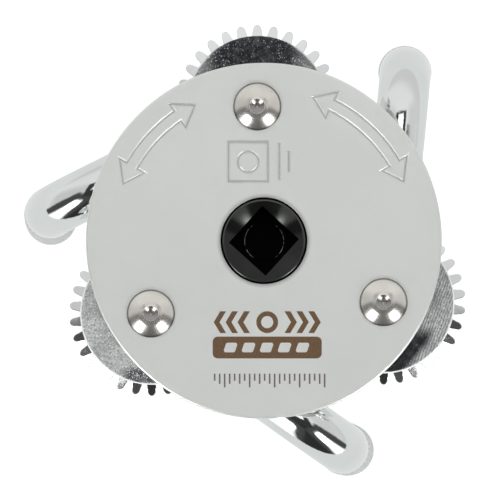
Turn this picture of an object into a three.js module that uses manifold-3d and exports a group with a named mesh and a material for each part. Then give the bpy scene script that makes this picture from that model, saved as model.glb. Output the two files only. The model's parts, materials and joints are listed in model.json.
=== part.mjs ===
// Two-way oil filter wrench with three round legs.
//
// A round top plate and a rounded triangular bottom plate are riveted together through three
// pivots. A central drive gear with a square socket turns three leg gears, and each leg gear
// carries a bent round bar that hangs down as a gripping leg.
//
// Millimetres, +Z up. The origin is on the drive axis, on the floor of the round relief just
// below the square socket. The socket's flats are parallel to X and Y.
import * as THREE from "three";
import { mergeVertices } from "three/addons/utils/BufferGeometryUtils.js";
import Module from "manifold-3d";

const wasm = await Module();
wasm.setup();

// ---------------------------------------------------------------- driving dimensions
// Names end in _R for a radius, _T for a thickness, _Z for a height and _DEG for an angle.
const DEG = Math.PI / 180;
const OVERCUT = 1; // how far a cutting tool runs past the face it opens

// layout seen along the drive axis
const PIVOT_CIRCLE_R = 26.5; // drive axis to each leg pivot
const PIVOT_DEG = [0, 1, 2].map((k) => 45 + 120 * k);
const REST_SWING_DEG = [113.5, 111.9, 111.6]; // each arm's turn from pointing straight outwards

// levels along the drive axis
const PLATE_TOP_Z = 11.5;
const PLATE_T = 4;
const PLATE_LOW_Z = PLATE_TOP_Z - PLATE_T;
const BOSS_TOP_Z = 7.2; // top of the leg gears' bosses, just under the top plate
const LEG_TEETH_TOP_Z = 5.4;
const DRIVE_TEETH_TOP_Z = 5;
const TEETH_LOW_Z = -0.6;
const HUB_LOW_Z = -13.4; // bottom of the leg gears' hubs
const BASE_TOP_Z = -13.7; // bottom plate
const BASE_T = 3.5;
const BASE_LOW_Z = BASE_TOP_Z - BASE_T;

// plates
const PLATE_R = 35.1;
const PLATE_ROUND_R = 0.4; // rounding of the upper rim
const PLATE_CHAMFER = 0.5; // on the lower rim
const PLATE_BORE_R = 8.5;
const LOBE_R = 8; // corner radius of the bottom plate, about each pivot
const LOBE_STEP_DEG = 15;
const BASE_BORE_R = 6.2;
const RIVET_HOLE_R = 3.15;

// gears
const MODULE = 1;
const PRESSURE = 20 * DEG;
const ROOT_RISE = 0.3; // least height of the flank's foot above the root
const ROOT_SPREAD = 0.12; // widening of each side of a tooth at the root
const CROWN_H = 0.42; // height of the rounded tip
const CROWN_SHOULDER = { rise: 0.72, width: 0.7 }; // as shares of the crown's height and width

const LEG_TOOTH_PHASE_DEG = -2.6; // where a leg tooth rests, from pointing straight outwards
const TOOTH_FALL_DEG = 25; // each leg tooth's upper face falls away towards its tip
const LEG_TEETH = {
  teeth: 30,
  shift: 0,
  extra: 0.24, // stout teeth, with slim ones on the drive gear to suit
  tipR: 16.3,
  rootR: 13.75,
};
const DRIVE_TEETH = {
  teeth: 24,
  shift: -0.5, // profile shift that brings the pair in to the pivot circle
  extra: -0.36,
  tipR: 12.5,
  rootR: 9.95,
};

// drive gear and its socket
const SQUARE = 9.8; // female 3/8 inch square
const SQUARE_FLOOR_Z = 0.6;
const RELIEF_R = 3.8;
const DRIVE_TOP_Z = 11.8;
const UPPER_JOURNAL_R = 8.4;
const LEAD_IN_R = 7.8; // mouth of the conical lead-in
const LEAD_IN_LOW_R = SQUARE / 2 - 0.4; // its narrow end, inside the square
const LEAD_IN_DEG = 34; // its slope from level
const LEAD_IN_FLARE = 0.5; // continuation of the cutter above the mouth
const COLLAR_R = 9.8;
const COLLAR_LOW_Z = TEETH_LOW_Z + 1;
const DRIVE_BODY_R = 9.5;
const SHOULDER_Z = -12.6;
const LOWER_JOURNAL_R = 6;
const DRIVE_LOW_Z = -20;
const DRIVE_CHAMFER = 0.6;
const GROOVE_TOP_Z = -17.4;
const GROOVE_LOW_Z = -18.6;
const GROOVE_R = 5.7;

// retaining ring
const RING_R = 5.8;
const RING_OUT_R = 7.7;
const RING_T = 1;
const RING_TOP_Z = GROOVE_TOP_Z - 0.1;
const RING_LOW_Z = RING_TOP_Z - RING_T;
const RING_HALF_GAP_DEG = 46 / 2;
const RING_TAPER = 0.55; // width lost at the ends
const EAR_R = 1.5;
const EAR_CIRCLE_R = RING_R + 1.55;
const EAR_DEG = RING_HALF_GAP_DEG + 3;
const EAR_HOLE_R = 0.65;
const EAR_HOLE_CIRCLE_R = RING_R + 1.7;
const RING_BORE_R = RING_R - 0.02; // clears the ears out of the bore

// wave washer
const WASHER_IN_R = 6.4;
const WASHER_OUT_R = 9.2;
const WASHER_T = 0.4;
const WASHER_WAVE = 0.18; // height of each wave either side of the middle
const WASHER_WAVES = 3;

// leg gears, sleeves and rivets
const BOSS_R = 14.05;
const BOSS_CHAMFER = 0.5;
const HUB_R = 12.5;
const HUB_CHAMFER = 0.6;
const GEAR_BORE_R = 4.66;
const SLEEVE_OUT_R = 4.5;
const SLEEVE_IN_R = 3.15;
const END_GAP = 0.05; // between the plates and the sleeve's ends or the rivet's heads
const RIVET_R = 3;
const RIVET_TAIL_R = 4.5;
const RIVET_TAIL_H = 1.9;
const RIVET_TAIL_BEVEL = { width: 1.3, height: 1.1 };
// domed head with a small hollow in the middle: [radius, height above its seat]
const RIVET_HEAD = [
  [4.73, 0], [4.73, 0.3], [4.48, 0.65], [3.78, 1.25], [2.93, 1.75],
  [2.2, 1.98], [1.45, 2.05], [0.95, 1.77], [0.45, 1.63], [0, 1.6],
];

// legs, in the leg gear's frame: pivot on Z, arm along +X
const BAR_R = 5.1;
const BAR_SOCKET_R = 5.22;
const BAR_SOCKET_LENGTH = 20; // runs out through the hub's side
const BAR_Z = -6.9; // height of the arm's axis
const BAR_START_X = 6; // inner end of the bar
const SOCKET_START_X = BAR_START_X - 0.1;
const BEND_R = 11;
const BEND_STEPS = 9;
const LEG_X = 46.3; // leg's axis, at the end of the bend
const LEAN = 1.6 * DEG; // the legs stand this much outwards of square to the arms
const FOOT_Z = -74;
const FOOT_SPARE = 0.5; // extra bar below the foot, trimmed off
// what the level, chamfered foot keeps: [radius beyond the bar's, height above the foot]
const FOOT_TRIM = [[-0.8, 0], [0.2, 1], [0.2, 1.2], [60, 2]];
const GRIP_R = 5.32; // slightly thicker length of the leg
const GRIP_TOP_Z = -26;
const GRIP_LOW_Z = -71.5;
const GRIP_BEVEL = { width: 0.45, height: 0.5 };
const PIN_R = 1.25;
const PIN_CHAMFER = 0.3;
const PIN_HOLE_R = 1.33;
const PIN_X = 9.2;
const PIN_TOP_Z = -1.15;
const PIN_LOW_Z = HUB_LOW_Z + 0.2;
const PIN_HOLE_TOP_Z = PIN_TOP_Z + 0.15;
const BAR_HOLE_REACH = 8; // the pin hole's cutter either side of the arm's axis

// number of sides of each round shape
const SIDES = {
  topPlate: 72, baseBore: 32, rivetHole: 20,
  drive: 36, relief: 24, washer: 36,
  ringArc: 22, ear: 12, earHole: 8, ringBore: 28,
  hub: 40, gearBore: 24, bar: 24, pin: 10, sleeve: 24, rivet: 20,
};

// ---------------------------------------------------------------- solids
// A manifold solid from a three.js geometry, whichever way its faces are wound.
function solid(geometry) {
  const bare = geometry.index ? geometry.toNonIndexed() : geometry.clone();
  for (const name of Object.keys(bare.attributes)) {
    if (name !== "position") bare.deleteAttribute(name);
  }
  const merged = mergeVertices(bare, 1e-4);
  const triangles = [];
  for (let i = 0; i < merged.index.count; i += 3) {
    const [a, b, c] = [0, 1, 2].map((k) => merged.index.getX(i + k));
    if (a !== b && b !== c && a !== c) triangles.push(a, b, c);
  }
  const build = () =>
    new wasm.Manifold(
      new wasm.Mesh({
        numProp: 3,
        vertProperties: new Float32Array(merged.attributes.position.array),
        triVerts: new Uint32Array(triangles),
      }),
    );
  const made = build();
  if (made.volume() > 0) return made;
  for (let i = 0; i < triangles.length; i += 3) {
    [triangles[i + 1], triangles[i + 2]] = [triangles[i + 2], triangles[i + 1]];
  }
  return build();
}

const join = (body, geometry) => body.add(solid(geometry));
const cut = (body, geometry) => body.subtract(solid(geometry));
const keep = (body, geometry) => body.intersect(solid(geometry));

function geometryOf(body) {
  const mesh = body.getMesh();
  const stride = mesh.numProp;
  const positions = new Float32Array(mesh.numVert * 3);
  for (let i = 0; i < mesh.numVert; i++) {
    positions.set(mesh.vertProperties.subarray(i * stride, i * stride + 3), i * 3);
  }
  const geometry = new THREE.BufferGeometry();
  geometry.setAttribute("position", new THREE.BufferAttribute(positions, 3));
  geometry.setIndex(new THREE.BufferAttribute(new Uint32Array(mesh.triVerts), 1));
  geometry.computeVertexNormals();
  return geometry;
}

// ---------------------------------------------------------------- shapes
const polar = (r, deg) => [r * Math.cos(deg * DEG), r * Math.sin(deg * DEG)];

const circle = (r, sides, [x, y] = [0, 0]) =>
  Array.from({ length: sides }, (_, i) => {
    const [dx, dy] = polar(r, (i * 360) / sides);
    return [x + dx, y + dy];
  });

const vectors = (points) => points.map(([x, y]) => new THREE.Vector2(x, y));
const shapeOf = (points) => new THREE.Shape(vectors(points));

// Turned about Z, from [radius, z] pairs. A profile off the axis closes on itself.
function turned(profile, sides) {
  const points = vectors(profile);
  if (profile[0][0] > 0) points.push(points[0].clone());
  return new THREE.LatheGeometry(points, sides).rotateX(Math.PI / 2);
}

const rod = (r, low, high, sides) =>
  turned([[0, low], [r, low], [r, high], [0, high]], sides);

const tube = (inR, outR, low, high, sides) =>
  turned([[inR, low], [outR, low], [outR, high], [inR, high]], sides);

// A flat shape given thickness, with its faces set exactly at the two levels.
function slab(shape, low, high) {
  const depth = high - low;
  const geometry = new THREE.ExtrudeGeometry(shape, { depth, bevelEnabled: false, steps: 1 });
  const position = geometry.attributes.position;
  for (let i = 0; i < position.count; i++) {
    position.setZ(i, position.getZ(i) > depth / 2 ? high : low);
  }
  return geometry;
}

// Gear with involute flanks and rounded tips. The first tooth is centred on startDeg.
// shift is the profile shift, and extra is added to each tooth's thickness.
function gearOutline({ teeth, shift, extra, tipR, rootR }, startDeg) {
  const pitchR = (MODULE * teeth) / 2;
  const baseR = pitchR * Math.cos(PRESSURE);
  const involute = (angle) => Math.tan(angle) - angle;
  const thickness = MODULE * (Math.PI / 2 + 2 * shift * Math.tan(PRESSURE)) + extra;
  const halfAtBase = thickness / (2 * pitchR) + involute(PRESSURE);
  const halfAt = (r) =>
    r <= baseR ? halfAtBase : halfAtBase - involute(Math.acos(baseR / r));

  const crownR = tipR - CROWN_H;
  const flankR = Math.max(baseR, rootR + ROOT_RISE);
  // one side of a tooth, root to tip: [radius, angle from the tooth's middle]
  const side = [
    [rootR, halfAt(flankR) + ROOT_SPREAD / rootR],
    [flankR, halfAt(flankR)],
    [crownR, halfAt(crownR)],
    [crownR + CROWN_SHOULDER.rise * CROWN_H, CROWN_SHOULDER.width * halfAt(crownR)],
  ];
  const tooth = [
    ...side.map(([r, angle]) => [r, -angle]),
    [tipR, 0],
    ...side.toReversed(),
  ];
  const points = [];
  for (let i = 0; i < teeth; i++) {
    const centre = startDeg * DEG + (i * 2 * Math.PI) / teeth;
    for (const [r, angle] of tooth) {
      points.push([r * Math.cos(centre + angle), r * Math.sin(centre + angle)]);
    }
  }
  return points;
}

const pivots = PIVOT_DEG.map((deg) => polar(PIVOT_CIRCLE_R, deg));

// ---------------------------------------------------------------- plates
function makeTopPlate() {
  const roundedRim = [0, 45, 90].map((deg) => {
    const [dx, dz] = polar(PLATE_ROUND_R, deg);
    return [PLATE_R - PLATE_ROUND_R + dx, PLATE_TOP_Z - PLATE_ROUND_R + dz];
  });
  const profile = [
    [PLATE_BORE_R, PLATE_LOW_Z],
    [PLATE_R - PLATE_CHAMFER, PLATE_LOW_Z],
    [PLATE_R, PLATE_LOW_Z + PLATE_CHAMFER],
    ...roundedRim,
    [PLATE_BORE_R, PLATE_TOP_Z],
  ];
  let body = solid(turned(profile, SIDES.topPlate));
  for (const [x, y] of pivots) {
    const low = PLATE_LOW_Z - OVERCUT;
    const high = PLATE_TOP_Z + OVERCUT;
    body = cut(body, rod(RIVET_HOLE_R, low, high, SIDES.rivetHole).translate(x, y, 0));
  }
  return body;
}

function makeBottomPlate() {
  const outline = [];
  pivots.forEach(([x, y], k) => {
    for (let turn = -60; turn <= 60; turn += LOBE_STEP_DEG) {
      const [dx, dy] = polar(LOBE_R, PIVOT_DEG[k] + turn);
      outline.push([x + dx, y + dy]);
    }
  });
  const shape = shapeOf(outline);
  const holes = [
    circle(BASE_BORE_R, SIDES.baseBore),
    ...pivots.map((pivot) => circle(RIVET_HOLE_R, SIDES.rivetHole, pivot)),
  ];
  for (const hole of holes) shape.holes.push(new THREE.Path(vectors(hole)));
  return solid(slab(shape, BASE_LOW_Z, BASE_TOP_Z));
}

// ---------------------------------------------------------------- drive gear
function makeDriveGear() {
  // at rest a gap stands against the leg tooth at each pivot
  const startDeg =
    PIVOT_DEG[0] +
    180 / DRIVE_TEETH.teeth -
    (LEG_TOOTH_PHASE_DEG * LEG_TEETH.teeth) / DRIVE_TEETH.teeth;
  const toothed = shapeOf(gearOutline(DRIVE_TEETH, startDeg));
  const shaft = [
    [0, DRIVE_LOW_Z],
    [LOWER_JOURNAL_R - DRIVE_CHAMFER, DRIVE_LOW_Z],
    [LOWER_JOURNAL_R, DRIVE_LOW_Z + DRIVE_CHAMFER],
    [LOWER_JOURNAL_R, GROOVE_LOW_Z],
    [GROOVE_R, GROOVE_LOW_Z],
    [GROOVE_R, GROOVE_TOP_Z],
    [LOWER_JOURNAL_R, GROOVE_TOP_Z],
    [LOWER_JOURNAL_R, SHOULDER_Z],
    [DRIVE_BODY_R, SHOULDER_Z],
    [DRIVE_BODY_R, COLLAR_LOW_Z],
    [COLLAR_R, COLLAR_LOW_Z],
    [COLLAR_R, BOSS_TOP_Z],
    [UPPER_JOURNAL_R, BOSS_TOP_Z],
    // softened upper edge
    [UPPER_JOURNAL_R, DRIVE_TOP_Z - 0.8],
    [UPPER_JOURNAL_R - 0.35, DRIVE_TOP_Z - 0.12],
    [UPPER_JOURNAL_R - 0.47, DRIVE_TOP_Z],
    [0, DRIVE_TOP_Z],
  ];
  let body = solid(slab(toothed, TEETH_LOW_Z, DRIVE_TEETH_TOP_Z));
  body = join(body, turned(shaft, SIDES.drive));

  const half = SQUARE / 2;
  const square = shapeOf([[-half, -half], [half, -half], [half, half], [-half, half]]);
  body = cut(body, slab(square, SQUARE_FLOOR_Z, DRIVE_TOP_Z + OVERCUT));
  body = cut(body, rod(RELIEF_R, 0, SQUARE_FLOOR_Z + OVERCUT, SIDES.relief));

  const leadInLowZ = DRIVE_TOP_Z - (LEAD_IN_R - LEAD_IN_LOW_R) * Math.tan(LEAD_IN_DEG * DEG);
  const leadIn = [
    [0, leadInLowZ],
    [LEAD_IN_LOW_R, leadInLowZ],
    [LEAD_IN_R, DRIVE_TOP_Z],
    [LEAD_IN_R + LEAD_IN_FLARE, DRIVE_TOP_Z + LEAD_IN_FLARE],
    [0, DRIVE_TOP_Z + LEAD_IN_FLARE],
  ];
  return cut(body, turned(leadIn, SIDES.drive));
}

// ---------------------------------------------------------------- retaining ring and wave washer
// An open ring with its gap towards +X, tapering towards two pierced ears.
function makeRetainingRing() {
  const outer = [];
  const inner = [];
  for (let i = 0; i <= SIDES.ringArc; i++) {
    const along = i / SIDES.ringArc;
    const deg = RING_HALF_GAP_DEG + (360 - 2 * RING_HALF_GAP_DEG) * along;
    outer.push(polar(RING_OUT_R - RING_TAPER * (1 - 2 * along) ** 2, deg));
    inner.push(polar(RING_R, deg));
  }
  const cutLow = RING_LOW_Z - OVERCUT;
  const cutHigh = RING_TOP_Z + OVERCUT;
  let body = solid(slab(shapeOf([...outer, ...inner.reverse()]), RING_LOW_Z, RING_TOP_Z));
  for (const deg of [EAR_DEG, -EAR_DEG]) {
    const ear = circle(EAR_R, SIDES.ear, polar(EAR_CIRCLE_R, deg));
    body = join(body, slab(shapeOf(ear), RING_LOW_Z, RING_TOP_Z));
    const [x, y] = polar(EAR_HOLE_CIRCLE_R, deg);
    body = cut(body, rod(EAR_HOLE_R, cutLow, cutHigh, SIDES.earHole).translate(x, y, 0));
  }
  return cut(body, rod(RING_BORE_R, cutLow, cutHigh, SIDES.ringBore));
}

// Lies midway between the bottom plate and the drive gear's shoulder.
function makeWaveWasher() {
  const low = (BASE_TOP_Z + SHOULDER_Z) / 2 - WASHER_T / 2;
  const geometry = tube(WASHER_IN_R, WASHER_OUT_R, low, low + WASHER_T, SIDES.washer);
  const position = geometry.attributes.position;
  for (let i = 0; i < position.count; i++) {
    const angle = Math.atan2(position.getY(i), position.getX(i));
    position.setZ(i, position.getZ(i) + WASHER_WAVE * Math.cos(WASHER_WAVES * angle));
  }
  return solid(geometry);
}

// ---------------------------------------------------------------- leg gear
function makeLegGear(restDeg) {
  const startDeg = LEG_TOOTH_PHASE_DEG - restDeg;
  const toothed = shapeOf(gearOutline(LEG_TEETH, startDeg));
  let body = solid(slab(toothed, TEETH_LOW_Z, LEG_TEETH_TOP_Z));

  // sloping upper faces, one flat facet to each tooth
  const corner = 1 / Math.cos(Math.PI / LEG_TEETH.teeth); // from a facet's middle to its corner
  const farR = LEG_TEETH.tipR + OVERCUT;
  const fall = (farR - LEG_TEETH.rootR) * Math.tan(TOOTH_FALL_DEG * DEG);
  const envelope = [
    [0, TEETH_LOW_Z - OVERCUT],
    [farR * corner, TEETH_LOW_Z - OVERCUT],
    [farR * corner, LEG_TEETH_TOP_Z - fall],
    [LEG_TEETH.rootR * corner, LEG_TEETH_TOP_Z],
    [0, LEG_TEETH_TOP_Z],
  ];
  body = keep(body, turned(envelope, LEG_TEETH.teeth).rotateZ(startDeg * DEG));

  const hubAndBoss = [
    [0, HUB_LOW_Z],
    [HUB_R - HUB_CHAMFER, HUB_LOW_Z],
    [HUB_R, HUB_LOW_Z + HUB_CHAMFER],
    [HUB_R, LEG_TEETH_TOP_Z],
    [BOSS_R, LEG_TEETH_TOP_Z],
    [BOSS_R, BOSS_TOP_Z - BOSS_CHAMFER],
    [BOSS_R - BOSS_CHAMFER, BOSS_TOP_Z],
    [0, BOSS_TOP_Z],
  ];
  body = join(body, turned(hubAndBoss, SIDES.hub));

  const cutLow = HUB_LOW_Z - OVERCUT;
  body = cut(body, rod(GEAR_BORE_R, cutLow, BOSS_TOP_Z + OVERCUT, SIDES.gearBore));
  const barSocket = rod(BAR_SOCKET_R, 0, BAR_SOCKET_LENGTH, SIDES.bar)
    .rotateY(Math.PI / 2)
    .translate(SOCKET_START_X, 0, BAR_Z);
  body = cut(body, barSocket);
  return cut(body, rod(PIN_HOLE_R, cutLow, PIN_HOLE_TOP_Z, SIDES.pin).translate(PIN_X, 0, 0));
}

// ---------------------------------------------------------------- leg bar
const BEND_ANGLE = Math.PI / 2 - LEAN;
const BEND_X = LEG_X - BEND_R * Math.sin(BEND_ANGLE);
const BEND_END_Z = BAR_Z - BEND_R * (1 - Math.cos(BEND_ANGLE));
const LEG_DOWN = new THREE.Vector3(Math.sin(LEAN), 0, -Math.cos(LEAN));

// The point at a given height on the straight leg's axis.
const legPointAt = (z) =>
  new THREE.Vector3(LEG_X, 0, BEND_END_Z).addScaledVector(
    LEG_DOWN,
    (BEND_END_Z - z) / Math.cos(LEAN),
  );

// Stations along the bar's axis: its inner end, the bend from start to finish, and its foot.
function barStations() {
  const bend = Array.from({ length: BEND_STEPS + 1 }, (_, i) => {
    const angle = (BEND_ANGLE * i) / BEND_STEPS;
    const x = BEND_X + BEND_R * Math.sin(angle);
    const z = BAR_Z - BEND_R * (1 - Math.cos(angle));
    return {
      point: new THREE.Vector3(x, 0, z),
      tangent: new THREE.Vector3(Math.cos(angle), 0, -Math.sin(angle)),
    };
  });
  return [
    { point: new THREE.Vector3(BAR_START_X, 0, BAR_Z), tangent: new THREE.Vector3(1, 0, 0) },
    ...bend,
    { point: legPointAt(FOOT_Z - FOOT_SPARE), tangent: LEG_DOWN },
  ];
}

// A path that an extrusion samples exactly at its stations, one step to each.
class StationPath extends THREE.Curve {
  constructor(stations) {
    super();
    this.stations = stations;
    this.steps = stations.length - 1;
  }
  getPointAt(t, target = new THREE.Vector3()) {
    return target.copy(this.stations[Math.round(t * this.steps)].point);
  }
  getTangentAt(t, target = new THREE.Vector3()) {
    return target.copy(this.stations[Math.round(t * this.steps)].tangent);
  }
}

// The thicker length, turned with its top at z = 0 and then set on the leg's axis.
function gripGeometry() {
  const length = GRIP_TOP_Z - GRIP_LOW_Z;
  const profile = [
    [0, -length],
    [GRIP_R - GRIP_BEVEL.width, -length],
    [GRIP_R, -length + GRIP_BEVEL.height],
    [GRIP_R, -GRIP_BEVEL.height],
    [GRIP_R - GRIP_BEVEL.width, 0],
    [0, 0],
  ];
  const placing = new THREE.Matrix4().makeRotationY(-LEAN);
  placing.setPosition(legPointAt(GRIP_TOP_Z));
  return turned(profile, SIDES.bar).applyMatrix4(placing);
}

function makeLegBar() {
  const path = new StationPath(barStations());
  const section = shapeOf(circle(BAR_R, SIDES.bar));
  let body = solid(
    new THREE.ExtrudeGeometry(section, {
      steps: path.steps,
      bevelEnabled: false,
      extrudePath: path,
    }),
  );
  body = join(body, gripGeometry());

  const trim = FOOT_TRIM.map(([dr, dz]) => [BAR_R + dr, FOOT_Z + dz]);
  const farR = trim.at(-1)[0];
  const footProfile = [[0, FOOT_Z], ...trim, [farR, 0], [0, 0]];
  const footX = legPointAt(FOOT_Z).x;
  body = keep(body, turned(footProfile, SIDES.bar).translate(footX, 0, 0));

  const low = BAR_Z - BAR_HOLE_REACH;
  const high = BAR_Z + BAR_HOLE_REACH;
  return cut(body, rod(PIN_HOLE_R, low, high, SIDES.pin).translate(PIN_X, 0, 0));
}

// ---------------------------------------------------------------- leg pin, sleeve and rivet
function makeLegPin() {
  const profile = [
    [0, PIN_LOW_Z],
    [PIN_R - PIN_CHAMFER, PIN_LOW_Z],
    [PIN_R, PIN_LOW_Z + PIN_CHAMFER],
    [PIN_R, PIN_TOP_Z - PIN_CHAMFER],
    [PIN_R - PIN_CHAMFER, PIN_TOP_Z],
    [0, PIN_TOP_Z],
  ];
  return solid(turned(profile, SIDES.pin).translate(PIN_X, 0, 0));
}

function makeSleeve() {
  const low = BASE_TOP_Z + END_GAP;
  const high = PLATE_LOW_Z - END_GAP;
  return solid(tube(SLEEVE_IN_R, SLEEVE_OUT_R, low, high, SIDES.sleeve));
}

function makeRivet() {
  const top = PLATE_TOP_Z + END_GAP;
  const low = BASE_LOW_Z - END_GAP;
  const tailLow = low - RIVET_TAIL_H;
  const profile = [
    [0, tailLow],
    [RIVET_TAIL_R - RIVET_TAIL_BEVEL.width, tailLow],
    [RIVET_TAIL_R, tailLow + RIVET_TAIL_BEVEL.height],
    [RIVET_TAIL_R, low],
    [RIVET_R, low],
    [RIVET_R, top],
    ...RIVET_HEAD.map(([r, height]) => [r, top + height]),
  ];
  return solid(turned(profile, SIDES.rivet));
}

// ---------------------------------------------------------------- assembly
const FINISH = {
  satinPlate: { color: 0xc9cac7, roughness: 0.42, metalness: 0.85 },
  blackOxide: { color: 0x101112, roughness: 0.35, metalness: 0.6 },
  roughChrome: { color: 0x8e9192, roughness: 0.35, metalness: 0.95 },
  chrome: { color: 0xdfe3e2, roughness: 0.06, metalness: 1 },
  nickel: { color: 0xc4bfb4, roughness: 0.16, metalness: 1 },
  springSteel: { color: 0x3a3a3c, roughness: 0.4, metalness: 0.8 },
  plainSteel: { color: 0x9a9c9d, roughness: 0.3, metalness: 0.9 },
};

function part(name, body, finish) {
  const material = new THREE.MeshStandardMaterial(finish);
  const mesh = new THREE.Mesh(geometryOf(body), material);
  mesh.name = name;
  return mesh;
}

const wrench = new THREE.Group();
wrench.add(
  part("top_plate", makeTopPlate(), FINISH.satinPlate),
  part("bottom_plate", makeBottomPlate(), FINISH.satinPlate),
  part("drive_gear", makeDriveGear(), FINISH.blackOxide),
  part("retaining_ring", makeRetainingRing(), FINISH.springSteel),
  part("wave_washer", makeWaveWasher(), FINISH.springSteel),
);

const legBar = makeLegBar();
const legPin = makeLegPin();
const sleeve = makeSleeve();
const rivet = makeRivet();

pivots.forEach(([x, y], k) => {
  const number = k + 1;
  const restDeg = REST_SWING_DEG[k];

  const pivot = new THREE.Group();
  pivot.position.set(x, y, 0);
  pivot.add(part(`pivot_sleeve_${number}`, sleeve, FINISH.plainSteel));
  pivot.add(part(`pivot_rivet_${number}`, rivet, FINISH.nickel));

  const leg = new THREE.Group();
  leg.rotation.z = (PIVOT_DEG[k] + restDeg) * DEG;
  leg.add(part(`leg_gear_${number}`, makeLegGear(restDeg), FINISH.roughChrome));
  leg.add(part(`leg_bar_${number}`, legBar, FINISH.chrome));
  leg.add(part(`leg_pin_${number}`, legPin, FINISH.plainSteel));
  pivot.add(leg);

  wrench.add(pivot);
});

export default wrench;
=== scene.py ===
"""Looks for the two-way filter wrench.

The drive axis is Z. A round top plate and a three-cornered bottom plate hold three leg gears
around a central drive gear, and a bent bar hangs from each leg gear down to the floor.
Meshes are worked out in millimetres, materials in metres.
"""

import json
import math
from functools import reduce

import bpy
import numpy as np
from mathutils import Matrix, Vector


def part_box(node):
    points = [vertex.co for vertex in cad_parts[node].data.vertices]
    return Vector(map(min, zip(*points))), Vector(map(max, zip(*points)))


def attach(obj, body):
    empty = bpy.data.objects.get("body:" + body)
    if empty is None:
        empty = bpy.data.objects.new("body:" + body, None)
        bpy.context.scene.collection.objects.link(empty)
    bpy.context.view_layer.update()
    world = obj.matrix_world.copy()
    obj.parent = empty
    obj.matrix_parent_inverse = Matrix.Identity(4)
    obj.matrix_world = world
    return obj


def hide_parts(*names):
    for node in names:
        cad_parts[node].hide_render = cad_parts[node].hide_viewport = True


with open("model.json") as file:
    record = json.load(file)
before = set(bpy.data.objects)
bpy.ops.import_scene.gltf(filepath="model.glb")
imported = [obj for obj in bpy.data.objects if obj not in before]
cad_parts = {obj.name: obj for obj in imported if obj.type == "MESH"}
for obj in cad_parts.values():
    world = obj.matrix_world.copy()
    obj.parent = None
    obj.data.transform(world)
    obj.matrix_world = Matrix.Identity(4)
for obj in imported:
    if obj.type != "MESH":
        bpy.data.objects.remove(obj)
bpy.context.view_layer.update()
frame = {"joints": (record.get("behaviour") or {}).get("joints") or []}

MM = 0.001
DEG = math.pi / 180
scene = bpy.context.scene

# ------------------------------------------------------------------ dimensions, mm and degrees
VIEW_TURN = -47.8  # the camera's right-hand direction, from +X
VIEW_COS, VIEW_SIN = math.cos(VIEW_TURN * DEG), math.sin(VIEW_TURN * DEG)
VIEW_RIGHT = Vector((VIEW_COS, VIEW_SIN, 0))
VIEW_UP = Vector((-VIEW_SIN, VIEW_COS, 0))

joints = {joint["name"]: joint for joint in frame["joints"]}
PIVOTS = [
    np.array(joints[f"leg_{k}_swing"]["pos_m"][:2], float) * 1000 for k in (1, 2, 3)
]
PIVOT_ANGLES = [math.degrees(math.atan2(p[1], p[0])) for p in PIVOTS]
REST_SWING = [113.5, 111.9, 111.6]  # each leg's turn from its pivot's outward direction
LEG_ANGLES = [angle + swing for angle, swing in zip(PIVOT_ANGLES, REST_SWING)]


def box_mm(node):
    """The low and high corners of a CAD piece."""
    low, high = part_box(node)
    return np.array(low) * 1000, np.array(high) * 1000


def heights(node):
    """The low and high z of a CAD piece."""
    low, high = box_mm(node)
    return low[2], high[2]


(_, _, PLATE_LOW), (PLATE_R, _, PLATE_TOP) = box_mm("top_plate")
BASE_LOW, BASE_TOP = heights("bottom_plate")
HUB_LOW, BOSS_TOP = heights("leg_gear_1")
DRIVE_LOW, DRIVE_TOP = heights("drive_gear")
PIN_LOW, PIN_TOP = heights("leg_pin_1")
FOOT_Z = heights("leg_bar_1")[0]
RIVET_LOW = heights("pivot_rivet_1")[0]

PIVOT_HOLE_R = 3.15
PIN_X = 9.2  # leg pin from the pivot, along the bar
PIN_HOLE_R = 1.33
BAR_Z = -6.9  # axis of the bar's level part
CLEAR = 1  # how far a cutter reaches past the face it cuts


# ------------------------------------------------------------------ mesh helpers
def arc_corner(before, corner, after, radius, steps):
    """Points that round a corner between its two neighbours."""
    before, corner, after = (np.array(q, float) for q in (before, corner, after))
    back, on = before - corner, after - corner
    back_length, on_length = np.linalg.norm(back), np.linalg.norm(on)
    back, on = back / back_length, on / on_length
    angle = math.acos(max(-1, min(1, float(back @ on))))
    if angle > math.pi - 1e-3:
        return [corner]
    reach = min(radius / math.tan(angle / 2), back_length * 0.49, on_length * 0.49)
    radius = reach * math.tan(angle / 2)
    middle = (back + on) / np.linalg.norm(back + on)
    centre = corner + middle * (radius / math.sin(angle / 2))
    start, end = corner + back * reach - centre, corner + on * reach - centre
    sweep = math.pi - angle
    points = []
    for i in range(steps + 1):
        f = i / steps
        turn = math.sin((1 - f) * sweep) * start + math.sin(f * sweep) * end
        points.append(centre + turn / math.sin(sweep))
    return points


def rounded(points, closed=True):
    """A profile of (x, y), (x, y, radius) or (x, y, radius, steps), its corners rounded."""
    out = []
    count = len(points)
    for i, point in enumerate(points):
        radius = point[2] if len(point) > 2 else 0
        steps = point[3] if len(point) > 3 else 5
        if radius <= 0 or (not closed and i in (0, count - 1)):
            out.append(np.array(point[:2], float))
            continue
        after = points[(i + 1) % count]
        out += arc_corner(points[i - 1][:2], point[:2], after[:2], radius, steps)
    return out


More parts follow.
